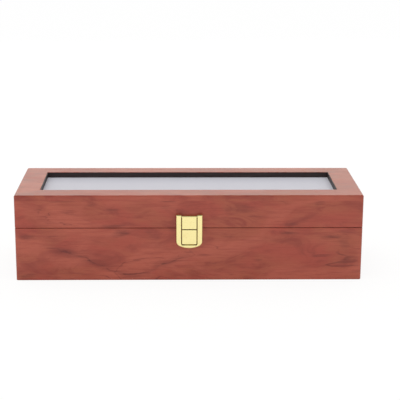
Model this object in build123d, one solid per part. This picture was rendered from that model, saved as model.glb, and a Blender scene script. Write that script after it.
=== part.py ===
from build123d import *
import os

# Watch box with a hinged glass lid, a swing clasp and six pillows in a row.
# Millimetres. X runs along the box, the front is -Y and Z is up.
# The origin is the middle of the underside.

# Case
case_length = 310.0
case_depth = 106.0
base_height = 48.45
lid_height = 29.65
seam_gap = 0.4
wall = 8.0
lip_clearance = 0.6
corner_radius = 1.8
bottom_edge_radius = 0.4
rim_edge_radius = 0.45
top_edge_radius = 1.4
glue_gap = 0.1

# Base floor and felt
felt_thickness = 0.4
floor_thickness = 4.0
floor_rabbet = 4.0

# Velvet covered boards
lining_thickness = 1.5
lip_height = 5.0
lip_headroom = 1.0
lining_edge_radius = 0.5
slot_count = 6
divider_thickness = 3.0
divider_height = 30.0
divider_edge_radius = 1.2

# Lid top, glass and the strips that hold it
top_thickness = 5.0
frame_side = 21.0
frame_front = 20.5
frame_back = 18.5
edging_thickness = 0.6
edging_drop = 0.3
glass_thickness = 2.0
glass_gap = 0.5
retainer_thickness = 3.0
retainer_setback = 2.0

# Hinges at the back, each with a stop that ends the opening
hinge_from_end = 60.0
hinge_length = 30.0
leaf_width = 6.5
leaf_thickness = 1.0
barrel_radius = 2.0
barrel_clearance = 0.3
knuckle_gap = 0.15
middle_knuckle = 11.0
hinge_pin_radius = 0.9
hinge_pin_overhang = 0.5
pin_clearance = 0.03
opening_angle = 100.0
stop_reach = 4.4
stop_thickness = 0.9
stop_clearance = 0.05

# Hinge screws
screw_spacing = 18.0
screw_setback = 3.2
screw_radius = 1.0
screw_head_radius = 1.9
screw_head_depth = 0.7
screw_length = 8.0
screw_tip = 1.6
screw_slot_width = 0.5
screw_slot_depth = 0.35
screw_clearance = 0.05

# Clasp: a U shaped frame that swings on the lid and closes round a keeper on the base
clasp_width = 23.4
clasp_above_seam = 13.25
clasp_below_seam = 17.9
clasp_thickness = 3.6
clasp_standoff = 0.5
rail_width = 4.5
clasp_bar = 3.15
clasp_bottom_radius = 21.0
clasp_corner_radius = 5.0
clasp_edge_radius = 1.2
window_corner_radius = 1.3
window_edge_radius = 0.5
ear_radius = 2.2
clasp_pin_radius = 0.55
clasp_pin_inset = 0.5
clasp_pin_clearance = 0.05
plate_side_gap = 0.7
plate_recess = 0.5
plate_wall = 0.4
plate_edge_radius = 0.3
plate_split = 0.6
plate_split_below_seam = 0.5
plate_relief = 0.3
keeper_gap = 0.55
snap_bead_length = 8.0
snap_clearance = 0.05
prong_radius = 1.0
prong_length = 5.0
prong_spacing = 7.0
prong_clearance = 0.05

# Pillows: a velvet cover round a foam core
pillow_side_gap = 1.0
pillow_end_gap = 3.5
pillow_height = 37.0
pillow_crown = 3.5
pillow_side_bulge = 4.0
pillow_bottom_corner = 9.0
pillow_top_corner = 13.0
pillow_seat_gap = 0.3
cover_thickness = 1.2
core_clearance = 0.2
# How far a pillow is drawn in at its ends, near them and about half way to them
pillow_end_draw = 3.6
pillow_shoulder_draw = 1.5
pillow_waist_draw = 0.35

# Places worked out from the sizes above
half_length = case_length / 2
half_depth = case_depth / 2
lid_bottom = base_height + seam_gap
lid_top = lid_bottom + lid_height
seam = base_height + seam_gap / 2
lid_wall = wall - lip_clearance
inner_x = half_length - wall
inner_y = half_depth - wall
lid_inner_x = half_length - lid_wall
lid_inner_y = half_depth - lid_wall
floor_top = felt_thickness + floor_thickness
tray_floor = floor_top + lining_thickness
tray_x = inner_x - lining_thickness
tray_y = inner_y - lining_thickness
slot_pitch = (2 * tray_x + divider_thickness) / slot_count
pillow_width = slot_pitch - divider_thickness - 2 * pillow_side_gap
pillow_depth = 2 * tray_y - 2 * pillow_end_gap
panel_bottom = lid_top - top_thickness
glass_bottom = panel_bottom - glass_thickness
retainer_bottom = glass_bottom - retainer_thickness
window_x = half_length - frame_side
window_front = -half_depth + frame_front
window_back = half_depth - frame_back
hinge_y = half_depth + barrel_radius + barrel_clearance
screw_y = half_depth - screw_setback
clasp_pin_y = -half_depth - clasp_standoff - clasp_thickness / 2
clasp_pin_z = seam + clasp_above_seam - ear_radius
plate_front = -half_depth - clasp_standoff - clasp_thickness + plate_recess
plate_half = clasp_width / 2 - rail_width - plate_side_gap
split_top = seam - plate_split_below_seam + plate_split / 2
split_bottom = split_top - plate_split
bar_top = seam - clasp_below_seam + clasp_bar
keeper_bottom = bar_top + keeper_gap
# How far a cut runs past a face, and the tolerance for finding an edge by its place
overcut = 1.0
touch = 0.01


def slab(x0, x1, y0, y1, z0, z1):
    """A block between two opposite corners."""
    centre = Pos((x0 + x1) / 2, (y0 + y1) / 2, (z0 + z1) / 2)
    return centre * Box(x1 - x0, y1 - y0, z1 - z0)


def rod(radius, x0, x1, y, z):
    """A round bar along X."""
    return Pos((x0 + x1) / 2, y, z) * Rot(0, 90, 0) * Cylinder(radius, x1 - x0)


def cased_block(z0, z1, low_radius, high_radius):
    """The outside of the base or lid as one block with its edges rounded."""
    block = slab(-half_length, half_length, -half_depth, half_depth, z0, z1)
    block = fillet(block.edges().filter_by(Axis.Z), corner_radius)
    block = fillet(block.faces().sort_by(Axis.Z)[0].edges(), low_radius)
    return fillet(block.faces().sort_by(Axis.Z)[-1].edges(), high_radius)


def mitre(side, thickness, z0, z1):
    """The prism that cuts one wall out of a ring, with 45 degree ends."""
    out_x = half_length + overcut
    out_y = half_depth + overcut
    in_x = half_length - thickness - overcut
    in_y = half_depth - thickness - overcut
    corners = {
        "front": ((-out_x, -out_y), (out_x, -out_y), (in_x, -in_y), (-in_x, -in_y)),
        "back": ((-out_x, out_y), (out_x, out_y), (in_x, in_y), (-in_x, in_y)),
        "left": ((-out_x, -out_y), (-in_x, -in_y), (-in_x, in_y), (-out_x, out_y)),
        "right": ((out_x, -out_y), (in_x, -in_y), (in_x, in_y), (out_x, out_y)),
    }[side]
    face = make_face(Polyline(*corners, close=True))
    height = z1 - z0 + 2 * overcut
    return Pos(0, 0, z0 - overcut) * extrude(face, height, dir=(0, 0, 1))


def hinge_centres():
    x = half_length - hinge_from_end
    return (("left", -x), ("right", x))


def screw_places():
    """Centres of the hinge screws along X."""
    return [x + s * screw_spacing / 2 for _, x in hinge_centres() for s in (-1, 1)]


def leaf_pocket(x, z0, z1):
    """The mortise for one hinge leaf in the edge of a back wall."""
    half = hinge_length / 2 + glue_gap
    front = half_depth - leaf_width - glue_gap
    return slab(x - half, x + half, front, half_depth + overcut, z0, z1)


def prong_holes(z):
    """The two blind holes in a front wall that take a clasp plate's prongs."""
    depth = prong_length + glue_gap
    holes = Part()
    for s in (-1, 1):
        hole = Rot(90, 0, 0) * Cylinder(prong_radius + prong_clearance, depth + overcut)
        holes += Pos(s * prong_spacing / 2, -half_depth + (depth - overcut) / 2, z) * hole
    return holes


def pilot_holes(direction, start):
    """Holes along Z for the hinge screws. direction is -1 down or 1 up, from start."""
    depth = screw_length + glue_gap
    holes = Part()
    for x in screw_places():
        middle = start + direction * depth / 2
        holes += Pos(x, screw_y, middle) * Cylinder(screw_radius + screw_clearance, depth)
    return holes


def base_walls():
    """Front, back, left and right walls, mitred at the corners."""
    block = cased_block(0, base_height, bottom_edge_radius, rim_edge_radius)
    ring = block - slab(-inner_x, inner_x, -inner_y, inner_y, -overcut, base_height + overcut)
    rabbet_x = inner_x + floor_rabbet
    rabbet_y = inner_y + floor_rabbet
    ring -= slab(-rabbet_x, rabbet_x, -rabbet_y, rabbet_y, -overcut, floor_top)
    pieces = {}
    for side in ("front", "back", "left", "right"):
        pieces[side] = ring & mitre(side, wall, 0, base_height)
    for _, x in hinge_centres():
        pieces["back"] -= leaf_pocket(x, base_height - leaf_thickness, base_height + overcut)
    pieces["back"] -= pilot_holes(-1, base_height)
    pieces["front"] -= prong_holes((split_bottom + keeper_bottom) / 2)
    return pieces


def base_floor_panel():
    x = inner_x + floor_rabbet - glue_gap
    y = inner_y + floor_rabbet - glue_gap
    return slab(-x, x, -y, y, felt_thickness, floor_top)


def base_felt_pad():
    """Felt glued to the floor panel, level with the undersides of the walls."""
    x = inner_x + floor_rabbet - glue_gap
    y = inner_y + floor_rabbet - glue_gap
    return slab(-x, x, -y, y, 0, felt_thickness)


def board_ring(x, y, z0, z1, thickness):
    """Four boards lining a rectangle of half sizes x and y; the long ones run corner to corner."""
    return {
        "front": slab(-x, x, -y, -y + thickness, z0, z1),
        "back": slab(-x, x, y - thickness, y, z0, z1),
        "left": slab(-x, -x + thickness, -y + thickness, y - thickness, z0, z1),
        "right": slab(x - thickness, x, -y + thickness, y - thickness, z0, z1),
    }


def soften(board, radius, where):
    """Rounds the two long edges of a board's top or bottom face. where is -1 or 1."""
    face = board.faces().sort_by(Axis.Z)[-1 if where > 0 else 0]
    edges = face.edges().sort_by(SortBy.LENGTH)[-2:]
    return fillet(edges, radius)


def base_linings():
    boards = board_ring(inner_x, inner_y, tray_floor, base_height + lip_height, lining_thickness)
    return {side: soften(board, lining_edge_radius, 1) for side, board in boards.items()}


def base_floor_lining():
    return slab(-inner_x, inner_x, -inner_y, inner_y, floor_top, tray_floor)


def divider(number):
    x = -tray_x - divider_thickness / 2 + number * slot_pitch
    half = divider_thickness / 2
    board = slab(x - half, x + half, -tray_y, tray_y, tray_floor, tray_floor + divider_height)
    return soften(board, divider_edge_radius, 1)


def lid_block():
    return cased_block(lid_bottom, lid_top, rim_edge_radius, top_edge_radius)


def lid_walls():
    """Front, back, left and right walls of the lid, mitred at the corners."""
    ring = lid_block() - slab(
        -lid_inner_x, lid_inner_x, -lid_inner_y, lid_inner_y, lid_bottom - overcut, lid_top
    )
    reach = half_length + overcut
    ring -= slab(-reach, reach, -reach, reach, panel_bottom, lid_top + overcut)
    pieces = {}
    for side in ("front", "back", "left", "right"):
        pieces[side] = ring & mitre(side, lid_wall, lid_bottom, lid_top)
    for _, x in hinge_centres():
        pieces["back"] -= leaf_pocket(x, lid_bottom - overcut, lid_bottom + leaf_thickness)
    pieces["back"] -= pilot_holes(1, lid_bottom)
    pieces["front"] -= prong_holes((split_top + clasp_pin_z) / 2)
    return pieces


def lid_top_panel():
    """The top with its window."""
    reach = half_length + overcut
    panel = lid_block() & slab(-reach, reach, -reach, reach, panel_bottom, lid_top + overcut)
    window = slab(
        -window_x, window_x, window_front, window_back, panel_bottom - overcut, lid_top + overcut
    )
    return panel - window


def window_edging():
    """The thin black band round the inside of the window, just under the top face."""
    top = lid_top - edging_drop
    outer = slab(-window_x, window_x, window_front, window_back, panel_bottom, top)
    t = edging_thickness
    return outer - slab(
        -window_x + t,
        window_x - t,
        window_front + t,
        window_back - t,
        panel_bottom - overcut,
        top + overcut,
    )


def glass_pane():
    x = lid_inner_x - glass_gap
    y = lid_inner_y - glass_gap
    return slab(-x, x, -y, y, glass_bottom, panel_bottom)


def glass_retainers():
    """Four velvet covered strips under the glass, set back from the window's edge."""
    x = lid_inner_x
    y = lid_inner_y
    front = window_front - retainer_setback
    back = window_back + retainer_setback
    side = window_x + retainer_setback
    return {
        "front": slab(-x, x, -y, front, retainer_bottom, glass_bottom),
        "back": slab(-x, x, back, y, retainer_bottom, glass_bottom),
        "left": slab(-x, -side, front, back, retainer_bottom, glass_bottom),
        "right": slab(side, x, front, back, retainer_bottom, glass_bottom),
    }


def lid_linings():
    low = base_height + lip_height + lip_headroom
    boards = board_ring(lid_inner_x, lid_inner_y, low, retainer_bottom, lining_thickness)
    return {side: soften(board, lining_edge_radius, -1) for side, board in boards.items()}


def countersink(x, direction, start, clearance):
    """A screw head's cone, wide at start and narrowing along direction."""
    depth = screw_head_depth
    cone = Cone(screw_radius + clearance, screw_head_radius + clearance, depth)
    if direction > 0:
        cone = Rot(180, 0, 0) * cone
    return Pos(x, screw_y, start + direction * depth / 2) * cone


def hinge_leaf(x, direction):
    """One leaf. direction -1 is the base's, with the two outer knuckles, and 1 the lid's."""
    half = hinge_length / 2
    inner = middle_knuckle / 2
    face = base_height if direction < 0 else lid_bottom
    low, high = sorted((face, face + direction * leaf_thickness))
    leaf = slab(x - half, x + half, half_depth - leaf_width, hinge_y, low, high)
    outer_spans = [(-half, -inner - knuckle_gap), (inner + knuckle_gap, half)]
    middle_span = [(-inner, inner)]
    own, other = (outer_spans, middle_span) if direction < 0 else (middle_span, outer_spans)
    leaf += stop_wing(x, direction)
    for a, b in own:
        leaf += rod(barrel_radius, x + a, x + b, hinge_y, seam)
    for a, b in other:
        sweep = barrel_radius + knuckle_gap
        leaf -= rod(sweep, x + a - knuckle_gap, x + b + knuckle_gap, hinge_y, seam)
    leaf -= rod(hinge_pin_radius + pin_clearance, x - half - overcut, x + half + overcut, hinge_y, seam)
    for place in (x - screw_spacing / 2, x + screw_spacing / 2):
        leaf -= countersink(place, direction, face, screw_clearance)
        leaf -= Pos(place, screw_y, face) * Cylinder(
            screw_radius + screw_clearance, 3 * leaf_thickness
        )
    return leaf


def stop_wing(x, direction):
    """The flange behind the barrel that meets the other leaf's at the end of the opening."""
    half = hinge_length / 2
    low = direction * stop_clearance
    high = direction * (stop_clearance + stop_thickness)
    start = (hinge_pin_radius + barrel_radius) / 2
    wing = slab(-half, half, start, stop_reach, min(low, high), max(low, high))
    return Pos(x, hinge_y, seam) * Rot(direction * opening_angle / 2, 0, 0) * wing


def hinge_pin(x):
    half = hinge_length / 2 + hinge_pin_overhang
    pin = rod(hinge_pin_radius, x - half, x + half, hinge_y, seam)
    return fillet(pin.edges().filter_by(GeomType.CIRCLE), hinge_pin_radius / 3)


def hinge_screw(x, direction, start):
    """A countersunk screw whose head is flush at start and whose shank runs along direction."""
    shank = screw_length - screw_tip
    screw = countersink(x, direction, start, 0)
    screw += Pos(x, screw_y, start + direction * shank / 2) * Cylinder(screw_radius, shank)
    tip = Cone(screw_radius, screw_radius / 4, screw_tip)
    if direction < 0:
        tip = Rot(180, 0, 0) * tip
    screw += Pos(x, screw_y, start + direction * (shank + screw_tip / 2)) * tip
    slot = Box(2 * screw_head_radius, screw_slot_width, 2 * screw_slot_depth)
    return screw - Pos(x, screw_y, start) * slot


def hinge_screws(direction, start):
    return Compound(children=[hinge_screw(x, direction, start) for x in screw_places()])


def clasp_outline(top, bottom):
    """The clasp's front outline: straight sides and a shallow curved bottom."""
    x = clasp_width / 2
    rise = clasp_bottom_radius - (clasp_bottom_radius**2 - x**2) ** 0.5
    outline = Polyline((x, bottom + rise), (x, top), (-x, top), (-x, bottom + rise))
    outline += ThreePointArc((-x, bottom + rise), (0, bottom), (x, bottom + rise))
    return make_face(outline)


def clasp_plane(y):
    """A plane facing the front at y, with its own Y along Z."""
    return Plane(origin=(0, y, 0), x_dir=(1, 0, 0), z_dir=(0, -1, 0))


def clasp_frame():
    """The U that swings: two rails, ears round the pin and the curved bar below."""
    back = -half_depth - clasp_standoff
    face = clasp_plane(back) * clasp_outline(seam + clasp_above_seam, seam - clasp_below_seam)
    frame = extrude(face, clasp_thickness, dir=(0, -1, 0))
    low_corners = frame.edges().filter_by(Axis.Y).sort_by(Axis.Z)[:2]
    frame = fillet(low_corners, clasp_corner_radius)
    frame = fillet(frame.faces().sort_by(Axis.Y)[0].edges(), clasp_edge_radius)
    gap = clasp_width / 2 - rail_width
    window = slab(
        -gap, gap, back - clasp_thickness - overcut, back + overcut, bar_top, seam + 2 * clasp_below_seam
    )
    window = fillet(window.edges().filter_by(Axis.Y).sort_by(Axis.Z)[:2], window_corner_radius)
    frame -= window
    front = frame.faces().sort_by(Axis.Y)[0].edges()
    beside = front.filter_by_position(Axis.X, -gap, gap)
    frame = fillet(beside.filter_by(lambda edge: edge.center().Z > bar_top - touch), window_edge_radius)
    reach = clasp_width
    below = slab(-reach, reach, back - reach, back + reach, seam - 2 * clasp_below_seam, clasp_pin_z)
    frame = frame & (below + rod(ear_radius, -reach, reach, clasp_pin_y, clasp_pin_z))
    bore = clasp_pin_radius + clasp_pin_clearance
    return frame - rod(bore, -reach, reach, clasp_pin_y, clasp_pin_z)


def plate_prongs(z):
    """Two prongs that go back into the wood."""
    prongs = Part()
    for s in (-1, 1):
        prong = Rot(90, 0, 0) * Cylinder(prong_radius, prong_length + overcut)
        middle = -half_depth + (prong_length - overcut) / 2
        prongs += Pos(s * prong_spacing / 2, middle, z) * prong
    return prongs


def clasp_hinge_plate():
    """The lid's plate: a block on the front wall with a knuckle for the pin."""
    knuckle = clasp_pin_radius + plate_wall
    plate = slab(-plate_half, plate_half, plate_front, -half_depth, split_top, clasp_pin_z)
    front_edges = plate.faces().sort_by(Axis.Y)[0].edges().sort_by(Axis.Z)[:3]
    plate = fillet(front_edges, plate_edge_radius)
    plate += rod(knuckle, -plate_half, plate_half, clasp_pin_y, clasp_pin_z)
    plate += slab(
        -plate_half, plate_half, clasp_pin_y, -half_depth, clasp_pin_z - knuckle, clasp_pin_z + knuckle
    )
    relief = -half_depth - plate_relief
    plate -= slab(
        -clasp_width, clasp_width, relief, -half_depth + overcut, split_top - overcut, lid_bottom
    )
    plate += plate_prongs((split_top + clasp_pin_z) / 2)
    return plate - rod(clasp_pin_radius, -clasp_width, clasp_width, clasp_pin_y, clasp_pin_z)


def clasp_keeper():
    """The base's plate: a block that fills the frame's window, with a snap bead under it."""
    plate = slab(-plate_half, plate_half, plate_front, -half_depth, keeper_bottom, split_bottom)
    low_corners = plate.edges().filter_by(Axis.Y).sort_by(Axis.Z)[:2]
    plate = fillet(low_corners, window_corner_radius - keeper_gap)
    plate = fillet(plate.faces().sort_by(Axis.Y)[0].edges(), plate_edge_radius)
    half = snap_bead_length / 2
    plate += rod(keeper_gap - snap_clearance, -half, half, clasp_pin_y, keeper_bottom)
    return plate + plate_prongs((split_bottom + keeper_bottom) / 2)


def clasp_pin():
    half = clasp_width / 2 - clasp_pin_inset
    pin = rod(clasp_pin_radius, -half, half, clasp_pin_y, clasp_pin_z)
    return fillet(pin.edges().filter_by(GeomType.CIRCLE), clasp_pin_radius / 3)


def pillow_section(shrink):
    """A pillow's profile in Y and Z: flat below, bulging sides and a crowned top."""
    y = pillow_depth / 2 - shrink
    z = pillow_height / 2 - shrink
    corner_y = y - pillow_side_bulge
    shoulder = z - pillow_crown
    middle = (shoulder - z) / 2
    outline = Line((-corner_y, -z), (corner_y, -z))
    outline += ThreePointArc((corner_y, -z), (y, middle), (corner_y, shoulder))
    outline += ThreePointArc((corner_y, shoulder), (0, z), (-corner_y, shoulder))
    outline += ThreePointArc((-corner_y, shoulder), (-y, middle), (-corner_y, -z))
    face = make_face(outline)
    face = fillet(face.vertices().sort_by(Axis.Y)[:2], pillow_bottom_corner - shrink)
    return fillet(face.vertices().sort_by(Axis.Y)[-2:], pillow_top_corner - shrink)


def pillow_form(inset):
    """A crowned cushion round the origin, drawn in towards both ends and inset all over."""
    ends = ((1.0, pillow_end_draw), (0.93, pillow_shoulder_draw), (0.62, pillow_waist_draw))
    left = [(-share, draw) for share, draw in ends]
    sections = []
    for share, drawn_in in (*left, (0, 0), *reversed(ends)):
        x = share * (pillow_width / 2 - inset)
        plane = Plane(origin=(x, 0, 0), x_dir=(0, 1, 0), z_dir=(1, 0, 0))
        sections.append(plane * pillow_section(inset + drawn_in))
    return loft(sections)


def pillow_place(number):
    """The middle of a pillow in its slot, counted from the left."""
    x = -tray_x - divider_thickness / 2 + (number - 0.5) * slot_pitch
    return Pos(x, 0, tray_floor + pillow_seat_gap + pillow_height / 2)


def all_parts():
    """Every node by name."""
    parts = {}
    for side, piece in base_walls().items():
        parts[f"base_{side}_wall"] = piece
    parts["base_floor_panel"] = base_floor_panel()
    parts["base_felt_pad"] = base_felt_pad()
    parts["base_floor_lining"] = base_floor_lining()
    for side, piece in base_linings().items():
        parts[f"base_{side}_lining"] = piece
    for number in range(1, slot_count):
        parts[f"divider_{number}"] = divider(number)
    for side, piece in lid_walls().items():
        parts[f"lid_{side}_wall"] = piece
    parts["lid_top_panel"] = lid_top_panel()
    parts["window_edging"] = window_edging()
    parts["glass_pane"] = glass_pane()
    for side, piece in glass_retainers().items():
        parts[f"glass_retainer_{side}"] = piece
    for side, piece in lid_linings().items():
        parts[f"lid_{side}_lining"] = piece
    for side, x in hinge_centres():
        parts[f"hinge_base_leaf_{side}"] = hinge_leaf(x, -1)
        parts[f"hinge_lid_leaf_{side}"] = hinge_leaf(x, 1)
        parts[f"hinge_pin_{side}"] = hinge_pin(x)
    parts["hinge_base_screws"] = hinge_screws(-1, base_height)
    parts["hinge_lid_screws"] = hinge_screws(1, lid_bottom)
    parts["clasp_hinge_plate"] = clasp_hinge_plate()
    parts["clasp_pin"] = clasp_pin()
    parts["clasp_frame"] = clasp_frame()
    parts["clasp_keeper"] = clasp_keeper()
    cover = pillow_form(0) - pillow_form(cover_thickness)
    core = pillow_form(cover_thickness + core_clearance)
    for number in range(1, slot_count + 1):
        place = pillow_place(number)
        parts[f"pillow_cover_{number}"] = place * cover
        parts[f"pillow_core_{number}"] = place * core
    return parts


os.makedirs("parts", exist_ok=True)
for name, shape in all_parts().items():
    export_step(shape, f"parts/{name}.step")
    print(name, round(shape.volume))
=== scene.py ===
import math

import bmesh
import bpy
from mathutils import Matrix, Vector, noise


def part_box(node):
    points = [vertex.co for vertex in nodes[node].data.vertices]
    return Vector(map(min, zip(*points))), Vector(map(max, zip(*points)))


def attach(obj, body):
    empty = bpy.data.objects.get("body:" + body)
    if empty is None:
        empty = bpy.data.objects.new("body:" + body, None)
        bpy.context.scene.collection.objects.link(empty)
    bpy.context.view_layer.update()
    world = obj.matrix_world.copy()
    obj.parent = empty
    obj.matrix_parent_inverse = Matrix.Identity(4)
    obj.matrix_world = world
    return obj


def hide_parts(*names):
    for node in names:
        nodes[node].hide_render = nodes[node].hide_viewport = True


# A cherry wood watch box with a glass lid, a gold clasp and velvet pillows.
# Metres, in the frame's axes: X along the box, the front is -Y, Z up.
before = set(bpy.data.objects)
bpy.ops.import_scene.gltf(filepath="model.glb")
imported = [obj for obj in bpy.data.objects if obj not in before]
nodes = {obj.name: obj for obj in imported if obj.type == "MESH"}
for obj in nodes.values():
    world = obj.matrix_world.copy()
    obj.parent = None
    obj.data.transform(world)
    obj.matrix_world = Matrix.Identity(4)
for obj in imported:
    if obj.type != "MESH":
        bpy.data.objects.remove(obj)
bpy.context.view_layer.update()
MM = 0.001

# The photograph's camera, as a fit to the box's corners gives it
CAMERA_PLACE = (-0.01502, -1.05858, 0.34442)
CAMERA_YAW = 0.0243
CAMERA_PITCH = 0.2622
CAMERA_ROLL = 0.0050
CAMERA_LENS = 105.93
SENSOR = 36.0

# Colours, linear
WHITE = (1.0, 1.0, 1.0, 1.0)
PAPER = (0.95, 0.95, 0.95, 1.0)
PAPER_FIBRE = (0.97, 0.97, 0.97, 1.0)
LAMP = (1.0, 0.91, 0.74)
CHERRY_LIGHT = (0.380, 0.084, 0.050, 1.0)
CHERRY_RED = (0.330, 0.056, 0.034, 1.0)
CHERRY_BROWN = (0.320, 0.071, 0.037, 1.0)
CHERRY_DARK = (0.235, 0.036, 0.022, 1.0)
CHERRY_LINE = (0.085, 0.009, 0.008, 1.0)
PLY = (0.46, 0.29, 0.15, 1.0)
PLY_DARK = (0.33, 0.19, 0.09, 1.0)
GOLD = (0.895, 0.79, 0.38, 1.0)
GOLD_WORN = (0.80, 0.60, 0.24, 1.0)
BLACK = (0.038, 0.027, 0.028, 1.0)
BLACK_WORN = (0.060, 0.044, 0.045, 1.0)
VELVET_DEEP = (0.008, 0.008, 0.009, 1.0)
VELVET_PILE = (0.028, 0.028, 0.031, 1.0)
VELVET_SHEEN = (0.55, 0.56, 0.62, 1.0)
FELT_DEEP = (0.012, 0.012, 0.012, 1.0)
FELT_FIBRE = (0.045, 0.044, 0.044, 1.0)
GLASS_TINT = (0.95, 0.97, 1.0, 1.0)
# The pale colour the pane shows at low angles: a painted reflection of the bright studio
GLASS_PAINTED_REFLECTION = (0.52, 0.522, 0.585, 1.0)

# The veneer's figure: how often it repeats per metre along the grain, up across it and in depth
WARP = (9.0, 26.0, 18.0)
SWIRL = (60.0, 160.0, 120.0)
MOTTLE = (26.0, 70.0, 50.0)
TINT = (15.0, 30.0, 24.0)
HUE = (17.0, 34.0, 30.0)
STREAK = (34.0, 520.0, 400.0)
PORES = (150.0, 2600.0, 2000.0)
PATCH = (13.0, 24.0, 18.0)
SPOTS = (42.0, 230.0, 160.0)
HUE_SHIFT = 3.7
SWIRL_PUSH = (16.0 * MM, 5.0 * MM, 0)
GROWTH_LINES = 30.0
GROWTH_BEND = 4.2

# The front's own figure, in millimetres from its middle and from the ground.
# Dark marks: along, up, half length, half height, strength
FRONT_MARKS = (
    (-19, 74, 9, 2.6, 1.00),
    (-22, 67, 8, 1.4, 0.40),
    (-87, 71, 6, 3.5, 0.40),
    (-67, 65, 9, 2.0, 0.50),
    (-116, 74, 14, 2.2, 0.40),
    (-66, 50, 12, 3.0, 0.60),
    (-61, 44, 10, 3.5, 0.80),
    (-72, 12, 12, 4.0, 0.40),
    (-32, 43, 6, 7.0, 0.35),
    (-144, 41, 10, 3.0, 0.50),
    (-146, 4, 11, 1.8, 0.60),
    (116, 72, 5, 4.0, 0.50),
    (89, 52, 9, 1.8, 0.55),
    (90, 44, 11, 2.2, 0.75),
    (129, 40, 11, 1.8, 0.80),
    (60, 19, 6, 1.3, 0.50),
    (118, 23, 11, 1.6, 0.50),
    (12, 23, 8, 1.4, 0.45),
    (47, 66, 18, 5.0, 0.30),
    (140, 36, 6, 12.0, 0.30),
)
# The long dark line that sags across the lower left: along, up
FRONT_LINE_HALF = 1.6
FRONT_LINE = ((-132, 32), (-97, 22), (-75, 13), (-55, 5), (-40, 7), (-28, 14), (12, 25))


# Node graphs
class Graph:
    """A material's node tree with short calls to add and link nodes."""

    def __init__(self, name):
        self.material = bpy.data.materials.new(name)
        self.material.use_nodes = True
        self.tree = self.material.node_tree
        self.shader = self.tree.nodes["Principled BSDF"]

    def add(self, kind, inputs=None, **settings):
        """A node of a kind, with values or links for its inputs."""
        node = self.tree.nodes.new("ShaderNode" + kind)
        for key, value in settings.items():
            setattr(node, key, value)
        for key, value in (inputs or {}).items():
            self.feed(node.inputs[key], value)
        return node

    def feed(self, socket, value):
        """Links a socket to another node's output, or sets it to a value."""
        if isinstance(value, bpy.types.NodeSocket):
            self.tree.links.new(value, socket)
        else:
            socket.default_value = value

    def surface(self, **inputs):
        """Sets the shader's sockets. Underscores in a name stand for spaces."""
        for key, value in inputs.items():
            self.feed(self.shader.inputs[key.replace("_", " ")], value)

    def maths(self, operation, a, b=0.0, c=0.0):
        """An operation on numbers."""
        return self.add("Math", {0: a, 1: b, 2: c}, operation=operation).outputs[0]

    def vector(self, operation, a, b):
        """An operation on vectors that gives a vector."""
        return self.add("VectorMath", {0: a, 1: b}, operation=operation).outputs[0]

    def place(self, order="XYZ", scale=(1.0, 1.0, 1.0), shift=(0.0, 0.0, 0.0)):
        """The object's own coordinates with the axes in another order, scaled and shifted."""
        place = self.add("TexCoord").outputs["Object"]
        parts = self.add("SeparateXYZ", {0: place})
        turned = self.add("CombineXYZ", {i: parts.outputs[a] for i, a in enumerate(order)})
        inputs = {0: turned.outputs[0], "Location": shift, "Scale": scale}
        return self.add("Mapping", inputs).outputs[0]

    def noise(self, vector, scale, detail=3.0, roughness=0.5, distortion=0.0):
        """Fractal noise, about 0.3 to 0.7 in most places."""
        values = {"Vector": vector, "Scale": scale, "Detail": detail}
        values |= {"Roughness": roughness, "Distortion": distortion}
        return self.add("TexNoise", values).outputs[0]

    def ramp(self, value, low, high, to_low=0.0, to_high=1.0):
        """A smooth step from one value to another."""
        inputs = {0: value, 1: low, 2: high, 3: to_low, 4: to_high}
        return self.add("MapRange", inputs, interpolation_type="SMOOTHSTEP").outputs[0]

    def mix(self, share, a, b):
        """Two colours mixed: all a at 0, all b at 1."""
        return self.add("Mix", {0: share, 6: a, 7: b}, data_type="RGBA").outputs[2]

    def mix_shaders(self, share, a, b):
        """Two shaders mixed, as colours are."""
        return self.add("MixShader", {0: share, 1: a, 2: b}).outputs[0]

    def finish_with(self, shader):
        """Puts another shader than the Principled one on the surface."""
        self.feed(self.tree.nodes["Material Output"].inputs["Surface"], shader)

    def bump(self, height, strength, distance, normal=None):
        """Relief from a height, over another relief if one is given."""
        inputs = {"Height": height, "Strength": strength, "Distance": distance}
        if normal is not None:
            inputs["Normal"] = normal
        return self.add("Bump", inputs).outputs[0]


def dark_marks(g, place, marks):
    """Small dark figures at chosen places, each an oval with soft edges."""
    faded, full = 1.25, 0.2
    total = 0.0
    for along, up, long_half, high_half, strength in marks:
        centre = (along * MM, up * MM, 0)
        reach = (1 / (long_half * MM), 1 / (high_half * MM), 0)
        scaled = g.vector("MULTIPLY", g.vector("SUBTRACT", place, centre), reach)
        distance = g.add("VectorMath", {0: scaled}, operation="LENGTH").outputs["Value"]
        total = g.maths("MAXIMUM", total, g.ramp(distance, faded, full, 0.0, strength))
    return total


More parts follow.
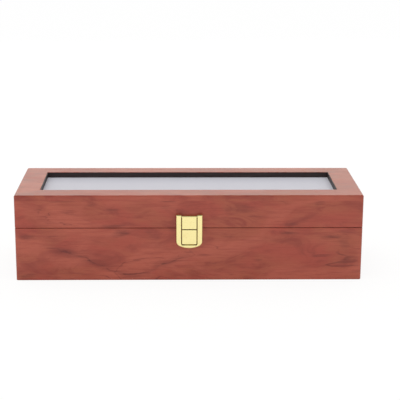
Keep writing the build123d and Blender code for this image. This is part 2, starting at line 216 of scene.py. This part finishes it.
def dark_line(g, place, points, half_width):
    """A long dark line through points, broken and soft-edged, that fades at both ends."""
    halo_half_width, halo_strength = 3.2 * half_width, 0.42
    first, last = points[0][0], points[-1][0]
    top = max(up for _, up in points)
    parts = g.add("SeparateXYZ", {0: place})
    span = (last - first) * MM
    share = g.maths("MULTIPLY_ADD", parts.outputs[0], 1 / span, -first * MM / span)
    curve = g.add("FloatCurve", {1: share})
    spots = curve.mapping.curves[0].points
    for along, up in points[1:-1]:
        spots.new((along - first) / (last - first), up / top)
    spots[0].location = (0.0, points[0][1] / top)
    spots[-1].location = (1.0, points[-1][1] / top)
    curve.mapping.update()
    level = g.maths("MULTIPLY_ADD", curve.outputs[0], top * MM, 0.0)
    off = g.maths("ABSOLUTE", g.maths("SUBTRACT", parts.outputs[1], level))
    broken = g.ramp(g.noise(place, 70.0, 2.0), 0.35, 0.6, 0.45, 1.0)
    core = g.maths("MULTIPLY", g.ramp(off, half_width, 0.0), broken)
    halo = g.ramp(off, halo_half_width, 0.0, 0.0, halo_strength)
    fade_in = g.ramp(share, 0.0, 0.12)
    fade_out = g.ramp(share, 1.0, 0.85)
    fade = g.maths("MULTIPLY", fade_in, fade_out)
    return g.maths("MULTIPLY", g.maths("MAXIMUM", core, halo), fade)


def cherry(name, order, shift, marks=(), line=()):
    """Lacquered cherry veneer: soft mottling, fine streaks, wavy lines and small dark figures."""
    g = Graph(name)

    def figure(scale, *settings):
        """Noise on this board, with the detail, roughness and distortion that follow the scale."""
        return g.noise(g.place(order, scale, shift), 1.0, *settings)

    # Places on the board, pushed about by a swirl, so no figure has a clean outline
    swirl = g.add("TexNoise", {"Vector": g.place(order, SWIRL, shift), "Scale": 1.0, "Detail": 4.0})
    centred = g.vector("ADD", swirl.outputs["Color"], (-0.5, -0.5, -0.5))
    bent = g.vector("ADD", g.place(order), g.vector("MULTIPLY", centred, SWIRL_PUSH))
    mottle = figure(MOTTLE, 5.0, 0.6, 1.4)
    tint = figure(TINT, 3.0, 0.5, 0.8)
    hue = g.noise(g.place(order, HUE, [a + HUE_SHIFT for a in shift]), 1.0, 3.0, 0.5, 0.6)
    streak = figure(STREAK, 4.0, 0.6, 0.3)
    pores = figure(PORES, 2.0, 0.6)
    # Growth lines: bands across the grain, bent by the warp, in patches
    across = g.add("SeparateXYZ", {0: bent}).outputs[1]
    bend = g.maths("MULTIPLY", figure(WARP, 3.0, 0.55, 0.8), GROWTH_BEND)
    saw = g.maths("PINGPONG", g.maths("MULTIPLY_ADD", across, GROWTH_LINES, bend), 0.5)
    patch = g.ramp(figure(PATCH, 2.0), 0.50, 0.64)
    lines = g.maths("MULTIPLY", g.ramp(saw, 0.050, 0.0), g.maths("MULTIPLY", patch, 0.62))
    spots = g.ramp(figure(SPOTS, 3.0, 0.55, 0.6), 0.62, 0.78, 0.0, 0.42)
    dark = g.maths("MAXIMUM", lines, spots)
    if marks:
        dark = g.maths("MAXIMUM", dark, dark_marks(g, bent, marks))
    if line:
        dark = g.maths("MAXIMUM", dark, dark_line(g, bent, line, FRONT_LINE_HALF * MM))
    dark = g.maths("MULTIPLY", dark, g.ramp(streak, 0.32, 0.58, 0.45, 1.0))
    # The colours, from the widest changes to the finest
    colour = g.mix(g.ramp(hue, 0.40, 0.60), CHERRY_RED, CHERRY_BROWN)
    colour = g.mix(g.ramp(mottle, 0.30, 0.56), CHERRY_DARK, colour)
    colour = g.mix(g.ramp(tint, 0.42, 0.66), colour, CHERRY_LIGHT)
    colour = g.mix(g.ramp(streak, 0.44, 0.70, 0.0, 0.45), colour, CHERRY_DARK)
    colour = g.mix(g.ramp(pores, 0.50, 0.68, 0.0, 0.30), colour, CHERRY_DARK)
    colour = g.mix(g.maths("MULTIPLY", dark, 0.80), colour, CHERRY_LINE)
    relief = g.bump(pores, 0.10, 0.02 * MM, g.bump(streak, 0.10, 0.05 * MM))
    g.surface(
        Base_Color=colour,
        Roughness=g.ramp(mottle, 0.2, 0.8, 0.38, 0.46),
        Normal=relief,
        Specular_IOR_Level=0.38,
        Coat_Weight=0.10,
        Coat_Roughness=0.25,
    )
    return g.material


def plywood():
    """Plain birch ply, seen only from below if the felt comes off."""
    g = Graph("plywood")
    ply_low, ply_high = 2.0 * MM, 2.8 * MM
    grain = g.noise(g.place("XYZ", (20.0, 700.0, 500.0)), 1.0, 4.0, 0.6, 0.3)
    plies = g.ramp(g.add("SeparateXYZ", {0: g.place()}).outputs[2], ply_low, ply_high)
    colour = g.mix(g.ramp(grain, 0.35, 0.7), PLY_DARK, PLY)
    g.surface(
        Base_Color=g.mix(g.maths("MULTIPLY", plies, 0.2), colour, PLY_DARK),
        Roughness=g.ramp(grain, 0.3, 0.7, 0.6, 0.75),
        Normal=g.bump(grain, 0.3, 0.1 * MM),
    )
    return g.material


def gold():
    """Polished gold plate, a little uneven and finely brushed."""
    g = Graph("gold")
    place = g.place()
    cloud = g.noise(place, 140.0, 3.0)
    brush = g.noise(g.place("XYZ", (300.0, 300.0, 5200.0)), 1.0, 2.0, 0.6)
    g.surface(
        Base_Color=g.mix(g.ramp(cloud, 0.55, 0.85, 0.0, 0.35), GOLD, GOLD_WORN),
        Metallic=1.0,
        Roughness=g.ramp(cloud, 0.3, 0.8, 0.16, 0.27),
        Normal=g.bump(brush, 0.05, 0.01 * MM),
    )
    return g.material


def black_edging():
    """Satin black lacquer with a faint grain and worn spots."""
    g = Graph("black_edging")
    grain = g.noise(g.place("XYZ", (40.0, 900.0, 900.0)), 1.0, 3.0)
    g.surface(
        Base_Color=g.mix(g.ramp(grain, 0.4, 0.8), BLACK, BLACK_WORN),
        Roughness=g.ramp(grain, 0.3, 0.7, 0.42, 0.55),
        Normal=g.bump(grain, 0.2, 0.03 * MM),
        Specular_IOR_Level=0.3,
    )
    return g.material


def velvet(name, pile_scale):
    """Short black pile: a deep base, brushed patches, fine fibres and a pale sheen."""
    g = Graph(name)
    place = g.place()
    brushed = g.noise(place, 55.0, 3.0, 0.55, 0.4)
    fibre = g.noise(place, pile_scale, 2.0, 0.7)
    tuft = g.maths("MULTIPLY_ADD", fibre, 0.6, g.maths("MULTIPLY", brushed, 0.4))
    g.surface(
        Base_Color=g.mix(g.ramp(tuft, 0.35, 0.68), VELVET_DEEP, VELVET_PILE),
        Roughness=g.ramp(brushed, 0.3, 0.7, 0.82, 0.95),
        Normal=g.bump(fibre, 0.5, 0.12 * MM, g.bump(brushed, 0.3, 0.4 * MM)),
        Sheen_Weight=0.55,
        Sheen_Roughness=0.35,
        Sheen_Tint=VELVET_SHEEN,
        Specular_IOR_Level=0.15,
    )
    return g.material


def felt():
    """Pressed felt with loose fibres."""
    g = Graph("felt")
    place = g.place()
    fibre = g.noise(g.place("XYZ", (900.0, 1500.0, 1200.0)), 1.0, 4.0, 0.7, 1.5)
    lump = g.noise(place, 90.0, 3.0)
    g.surface(
        Base_Color=g.mix(g.ramp(fibre, 0.4, 0.7), FELT_DEEP, FELT_FIBRE),
        Roughness=g.ramp(lump, 0.3, 0.7, 0.88, 0.98),
        Normal=g.bump(fibre, 0.6, 0.15 * MM, g.bump(lump, 0.4, 0.3 * MM)),
        Sheen_Weight=0.3,
        Sheen_Roughness=0.5,
        Specular_IOR_Level=0.1,
    )
    return g.material


def glass():
    """Clear window glass with a wiped pane's unevenness, and a pale diffuse veil at low angles: a
    painted reflection of the bright studio, shown in place of the pane's mirror image.
    """
    g = Graph("glass")
    painted_reflection_from, painted_reflection_full, painted_reflection_share = 0.52, 0.70, 0.96
    smear = g.noise(g.place("XYZ", (14.0, 22.0, 10.0)), 1.0, 3.0, 0.5, 0.6)
    g.surface(
        Base_Color=g.mix(g.ramp(smear, 0.3, 0.8), GLASS_TINT, WHITE),
        Roughness=g.ramp(smear, 0.45, 0.8, 0.01, 0.04),
        Transmission_Weight=1.0,
        IOR=1.25,
    )
    # Painted reflection: a pale, dull surface is mixed in at low angles and stands in for the pane
    # mirroring the bright studio
    dull = {"Base Color": GLASS_PAINTED_REFLECTION, "Roughness": 0.75, "Specular IOR Level": 0.15}
    painted_reflection = g.add("BsdfPrincipled", dull)
    facing = g.add("LayerWeight", {"Blend": 0.5}).outputs["Facing"]
    share = g.ramp(facing, painted_reflection_from, painted_reflection_full, 0.0, painted_reflection_share)
    seen = g.mix_shaders(share, g.shader.outputs[0], painted_reflection.outputs[0])
    # Light falls through the pane to the velvet without the noise of refraction
    rays = g.add("LightPath")
    falls = g.maths("MAXIMUM", rays.outputs["Is Shadow Ray"], rays.outputs["Is Diffuse Ray"])
    clear = g.add("BsdfTransparent", {0: GLASS_TINT})
    g.finish_with(g.mix_shaders(falls, seen, clear.outputs[0]))
    return g.material


# Meshes
BOARD_MARGIN = 0.03 * MM
BOARD_CELL = 5.0 * MM
BOARD_ROUNDING = 0.42
BOARD_BEVEL = 0.22
BOARD_DENT = 0.06
DENTS_PER_METRE = 130.0


def finish_mesh(bm, name, material):
    """A smooth object from a bmesh, with a material."""
    bmesh.ops.recalc_face_normals(bm, faces=bm.faces)
    mesh = bpy.data.meshes.new(name)
    bm.to_mesh(mesh)
    bm.free()
    mesh.polygons.foreach_set("use_smooth", [True] * len(mesh.polygons))
    mesh.materials.append(material)
    piece = bpy.data.objects.new(name, mesh)
    bpy.context.scene.collection.objects.link(piece)
    return piece


def grid_box(low, high, step):
    """A box whose faces are grids with cells of about one step."""
    bm = bmesh.new()
    size = high - low
    counts = [max(1, round(size[i] / step)) for i in range(3)]
    bmesh.ops.create_cube(bm, size=1.0)
    bmesh.ops.scale(bm, vec=size, verts=bm.verts)
    bmesh.ops.translate(bm, vec=(low + high) / 2, verts=bm.verts)
    for axis in range(3):
        for cut in range(1, counts[axis]):
            point = low.copy()
            point[axis] += size[axis] * cut / counts[axis]
            normal = Vector((axis == 0, axis == 1, axis == 2))
            everything = bm.verts[:] + bm.edges[:] + bm.faces[:]
            bmesh.ops.bisect_plane(bm, geom=everything, plane_co=point, plane_no=normal)
    return bm


def padded_board(node, material, body):
    """A cloth covered board in a node's place: rounded edges and a surface that gives a little."""
    low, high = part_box(node)
    margin = Vector((BOARD_MARGIN, BOARD_MARGIN, BOARD_MARGIN))
    low, high = low + margin, high - margin
    middle = (low + high) / 2
    thin = min(high - low)
    thin_axis = min(range(3), key=lambda i: high[i] - low[i])
    corner = BOARD_ROUNDING * thin
    bm = grid_box(low, high, BOARD_CELL)
    # Round the edges: each outer point moves to within a corner's radius of the core
    for vert in bm.verts:
        co = vert.co
        near = Vector(min(max(co[i], low[i] + corner), high[i] - corner) for i in range(3))
        out = co - near
        if sum(abs(a) > 1e-9 for a in out) > 1:
            vert.co = near + out.normalized() * corner
    # Dent the two wide faces inwards
    for vert in bm.verts:
        dent = noise.noise(vert.co * DENTS_PER_METRE) * 0.5 + 0.5
        side = 1 if vert.co[thin_axis] > middle[thin_axis] else -1
        vert.co[thin_axis] -= side * dent * BOARD_DENT * thin
    piece = finish_mesh(bm, f"{node}_cloth", material)
    bevel = piece.modifiers.new("edges", "BEVEL")
    bevel.width = BOARD_BEVEL * thin
    bevel.segments = 3
    bevel.limit_method = "ANGLE"
    bevel.angle_limit = math.radians(40)
    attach(piece, body)
    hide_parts(node)


def paint(material, *names):
    """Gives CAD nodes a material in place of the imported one."""
    for name in names:
        data = nodes[name].data
        data.materials.clear()
        data.materials.append(material)


SIDES = ("front", "back", "left", "right")


def dress_wood():
    """Veneer along each board, with a different stretch of it on each."""
    long_front = cherry("cherry_front", "XZY", (0.310, 0.120, 0.0), FRONT_MARKS, FRONT_LINE)
    long_back = cherry("cherry_back", "XZY", (1.930, 0.770, 0.4))
    left = cherry("cherry_left", "YZX", (2.410, 0.350, 0.2))
    right = cherry("cherry_right", "YZX", (3.170, 0.910, 0.7))
    top = cherry("cherry_top", "XYZ", (4.030, 0.540, 0.9))
    for side, material in zip(SIDES, (long_front, long_back, left, right)):
        paint(material, f"base_{side}_wall", f"lid_{side}_wall")
    paint(top, "lid_top_panel")
    paint(plywood(), "base_floor_panel")


def dress_metal():
    """Gold on every piece of the hinges and of the clasp."""
    metal = gold()
    for name in nodes:
        if name.startswith(("hinge_", "clasp_")):
            paint(metal, name)


def dress_linings():
    """Velvet and felt boards in place of the plain ones."""
    cloth = velvet("velvet", 5200.0)
    for side in SIDES:
        padded_board(f"base_{side}_lining", cloth, "base")
        padded_board(f"lid_{side}_lining", cloth, "lid")
        padded_board(f"glass_retainer_{side}", cloth, "lid")
    padded_board("base_floor_lining", cloth, "base")
    for name in nodes:
        if name.startswith("divider_"):
            padded_board(name, cloth, "base")
    padded_board("base_felt_pad", felt(), "base")


# Pillows
PILLOW_COUNT = 6
PILLOW_RINGS = 48
PILLOW_AROUND = 140
# How square the section is, and how far its crown drops towards front and back
SECTION_POWER = 2 / 3.4
CROWN_DROP = 0.09
# How far the section shrinks near the ends, and over the whole length
END_DRAW = 0.085
WAIST_DRAW = 0.012
END_FADE = 7
# The end face: its seam and its middle, measured from the CAD cover's end, and its rings
END_SEAM = 1.2 * MM
END_BULGE = 0.9 * MM
END_MIDDLE = 0.3 * MM
END_RINGS = 8
GATHERS = 28
GATHER_DEPTH = 0.15 * MM
PIPING = 0.55 * MM
PIPING_SIDES = 8
# The cloth is simulated larger than life, where the solver's distances suit it
CLOTH_SCALE = 10.0
CLOTH_FRAMES = 20
CLOTH_LIMIT = 1.1 * MM
PINNED_END = 1.3 * MM


def pillow_half():
    """Half of the CAD cover's size."""
    low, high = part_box("pillow_cover_1")
    return (high - low) / 2


def pillow_profile(turn, half_depth, half_height):
    """A point of the pillow's section at a share of the way round: flat below, crowned above."""
    angle = turn * 2 * math.pi
    c, s = math.cos(angle), math.sin(angle)
    y = half_depth * math.copysign(abs(c) ** SECTION_POWER, c)
    z = half_height * math.copysign(abs(s) ** SECTION_POWER, s)
    if s > 0:
        z *= 1 - CROWN_DROP * (y / half_depth) ** 2
    return y, z


def join_rings(bm, a, b):
    """Faces between two closed rings with as many points each."""
    for j in range(len(a)):
        k = (j + 1) % len(a)
        bm.faces.new((a[j], a[k], b[k], b[j]))


def pillow_mesh(name, material):
    """A velvet pillow round the origin, with gathers beside the seam at both ends."""
    half = pillow_half()
    bm = bmesh.new()
    rings = []
    for i in range(PILLOW_RINGS + 1):
        share = -1 + 2 * i / PILLOW_RINGS
        edge = abs(share) ** END_FADE
        swell = 1 - END_DRAW * edge - WAIST_DRAW * abs(share) ** 2
        ring = []
        for j in range(PILLOW_AROUND):
            turn = j / PILLOW_AROUND
            # The gathers aren't spaced evenly
            phase = turn * 2 * math.pi * GATHERS + 0.7 * math.sin(9 * turn * math.pi)
            gather = GATHER_DEPTH * edge * math.sin(phase)
            y, z = pillow_profile(turn, half.y * swell, half.z * swell)
            reach = 1 + gather / math.hypot(y, z)
            ring.append(bm.verts.new((share * (half.x - END_SEAM), y * reach, z * reach)))
        rings.append(ring)
    for a, b in zip(rings, rings[1:]):
        join_rings(bm, a, b)
    for ring, side in ((rings[0], -1), (rings[-1], 1)):
        last = ring
        for step in range(1, END_RINGS + 1):
            share = 1 - step / (END_RINGS + 1)
            x = side * (half.x - END_SEAM + END_BULGE * (1 - share * share))
            inner = [bm.verts.new((x, v.co.y * share, v.co.z * share)) for v in ring]
            join_rings(bm, last, inner)
            last = inner
        centre = bm.verts.new((side * (half.x - END_MIDDLE), 0, 0))
        for j in range(PILLOW_AROUND):
            bm.faces.new((last[j], last[(j + 1) % PILLOW_AROUND], centre))
    return finish_mesh(bm, name, material)


def settle_as_cloth(piece, half):
    """Lets the velvet settle as cloth a little too large for its foam, held at its end seams."""
    mesh = piece.data
    rest = [v.co.copy() for v in mesh.vertices]
    seam = [v.index for v in mesh.vertices if abs(v.co.x) > half.x - PINNED_END]
    piece.vertex_groups.new(name="seam").add(seam, 1.0, "REPLACE")
    mesh.transform(Matrix.Scale(CLOTH_SCALE, 4))
    cloth = piece.modifiers.new("cloth", "CLOTH")
    cloth.settings.quality = 6
    cloth.settings.mass = 0.15
    cloth.settings.bending_stiffness = 0.05
    cloth.settings.shrink_min = -0.045
    cloth.settings.vertex_group_mass = "seam"
    cloth.settings.use_pressure = True
    cloth.settings.uniform_pressure_force = 4.0
    cloth.settings.effector_weights.gravity = 0.0
    scene = bpy.context.scene
    for step in range(1, CLOTH_FRAMES + 1):
        scene.frame_set(step)
    settled = piece.evaluated_get(bpy.context.evaluated_depsgraph_get()).data
    places = [v.co / CLOTH_SCALE for v in settled.vertices]
    piece.modifiers.remove(cloth)
    piece.vertex_groups.clear()
    scene.frame_set(1)
    for vert, start, end in zip(mesh.vertices, rest, places):
        move = end - start
        if move.length > CLOTH_LIMIT:
            move.length = CLOTH_LIMIT
        place = start + move
        vert.co = [min(max(place[i], -half[i]), half[i]) for i in range(3)]


def piping_mesh(name, material):
    """The piping sewn into a pillow's two end seams."""
    half = pillow_half()
    swell = 1 - END_DRAW - WAIST_DRAW
    bm = bmesh.new()
    for side in (-1, 1):
        rings = []
        for j in range(PILLOW_AROUND):
            y, z = pillow_profile(j / PILLOW_AROUND, half.y * swell, half.z * swell)
            out = Vector((0, y, z)).normalized()
            centre = Vector((side * (half.x - END_SEAM), y, z))
            ring = []
            for k in range(PIPING_SIDES):
                angle = k * 2 * math.pi / PIPING_SIDES
                offset = Vector((math.cos(angle), 0, 0)) + out * math.sin(angle)
                ring.append(bm.verts.new(centre + offset * PIPING))
            rings.append(ring)
        for a, b in zip(rings, rings[1:] + rings[:1]):
            join_rings(bm, a, b)
    return finish_mesh(bm, name, material)


def make_pillows():
    """One pillow is settled as cloth, and the six are turned copies of it."""
    cloth = velvet("pillow_velvet", 4600.0)
    pattern = pillow_mesh("pillow_pattern", cloth)
    settle_as_cloth(pattern, pillow_half())
    for number in range(1, PILLOW_COUNT + 1):
        low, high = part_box(f"pillow_cover_{number}")
        pillow = bpy.data.objects.new(f"pillow_{number}", pattern.data.copy())
        bpy.context.scene.collection.objects.link(pillow)
        pillow.data.transform(Matrix.Rotation(math.pi * (number % 2), 4, "Z"))
        piping = piping_mesh(f"pillow_piping_{number}", cloth)
        for piece in (pillow, piping):
            piece.data.transform(Matrix.Translation((low + high) / 2))
            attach(piece, f"pillow_{number}")
        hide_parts(f"pillow_cover_{number}", f"pillow_core_{number}")
    bpy.data.objects.remove(pattern)


# Studio
FLOOR_HALF = 3.0
PAPER_GLOW = 0.88
# Gloss sees a dimmer sky from CEILING_LOW up to CEILING_HIGH, as the Z of a direction
CEILING = 0.22
CEILING_LOW = 0.34
CEILING_HIGH = 0.54


def floor_material():
    """White paper that shows as white, with the object's shadow on it."""
    g = Graph("studio_paper")
    fibre = g.noise(g.place("XYZ", (300.0, 300.0, 300.0)), 1.0, 3.0)
    g.surface(
        Base_Color=g.mix(g.ramp(fibre, 0.3, 0.7), PAPER, PAPER_FIBRE),
        Roughness=0.9,
        Specular_IOR_Level=0.0,
    )
    share = g.maths("MULTIPLY", g.add("LightPath").outputs["Is Camera Ray"], PAPER_GLOW)
    glow = g.add("Emission", {"Color": WHITE, "Strength": 1.0})
    g.finish_with(g.mix_shaders(share, g.shader.outputs[0], glow.outputs[0]))
    return g.material


def make_floor():
    """A wide sheet of paper under the box."""
    bm = bmesh.new()
    bmesh.ops.create_grid(bm, x_segments=4, y_segments=4, size=FLOOR_HALF)
    floor = finish_mesh(bm, "studio_floor", floor_material())


def area_lamp(name, place, target, size, power):
    """A soft lamp at a place, turned to its target."""
    data = bpy.data.lights.new(name, "AREA")
    data.shape = "RECTANGLE"
    data.size, data.size_y = size
    data.energy = power
    data.color = LAMP
    lamp = bpy.data.objects.new(name, data)
    lamp.location = place
    lamp.rotation_mode = "QUATERNION"
    lamp.rotation_quaternion = (Vector(target) - Vector(place)).to_track_quat("-Z", "Y")
    bpy.context.scene.collection.objects.link(lamp)
    return lamp


def make_world():
    """A white tent round the object, with a dimmer ceiling for gloss, so the glass looks clear."""
    world = bpy.data.worlds.new("studio")
    bpy.context.scene.world = world
    world.use_nodes = True
    tree = world.node_tree
    background = tree.nodes["Background"]
    background.inputs["Color"].default_value = WHITE
    direction = tree.nodes.new("ShaderNodeTexCoord").outputs["Generated"]
    parts = tree.nodes.new("ShaderNodeSeparateXYZ")
    ceiling = tree.nodes.new("ShaderNodeMapRange")
    ceiling.interpolation_type = "SMOOTHSTEP"
    limits = {"From Min": CEILING_LOW, "From Max": CEILING_HIGH, "To Min": 1.0, "To Max": CEILING}
    for key, value in limits.items():
        ceiling.inputs[key].default_value = value
    rays = tree.nodes.new("ShaderNodeLightPath")
    strength = tree.nodes.new("ShaderNodeMix")
    strength.inputs["A"].default_value = 1.0
    tree.links.new(direction, parts.inputs[0])
    tree.links.new(parts.outputs["Z"], ceiling.inputs["Value"])
    tree.links.new(rays.outputs["Is Glossy Ray"], strength.inputs["Factor"])
    tree.links.new(ceiling.outputs["Result"], strength.inputs["B"])
    tree.links.new(strength.outputs["Result"], background.inputs["Strength"])


def make_camera():
    """The camera of the photograph: turned by its yaw, tipped down by its pitch, then rolled."""
    yaw, pitch, roll = CAMERA_YAW, CAMERA_PITCH, CAMERA_ROLL
    forward = Vector(
        (math.sin(yaw) * math.cos(pitch), math.cos(yaw) * math.cos(pitch), -math.sin(pitch))
    )
    level_right = Vector((math.cos(yaw), -math.sin(yaw), 0))
    level_up = level_right.cross(forward)
    right = math.cos(roll) * level_right + math.sin(roll) * level_up
    up = -math.sin(roll) * level_right + math.cos(roll) * level_up
    turn = Matrix((right, up, -forward)).transposed().to_4x4()
    data = bpy.data.cameras.new("camera")
    data.lens = CAMERA_LENS
    data.sensor_width = SENSOR
    data.clip_end = 50.0
    camera = bpy.data.objects.new("camera", data)
    bpy.context.scene.collection.objects.link(camera)
    camera.matrix_world = Matrix.Translation(CAMERA_PLACE) @ turn
    bpy.context.scene.camera = camera


def make_studio():
    """Floor, world, camera and two soft lamps."""
    make_floor()
    make_world()
    make_camera()
    # The pane shows no mirror image of the overhead lamp
    overhead = area_lamp("overhead", (-0.2, -0.1, 1.3), (0, 0, 0.04), (1.2, 0.9), 3.0)
    overhead.visible_glossy = False
    overhead.visible_transmission = False
    area_lamp("back", (-0.1, 1.5, 0.50), (0, 0, 0.06), (2.4, 0.4), 4.3)
    bpy.context.scene.view_settings.view_transform = "Standard"


make_studio()
dress_wood()
dress_metal()
paint(black_edging(), "window_edging")
paint(glass(), "glass_pane")
dress_linings()
make_pillows()
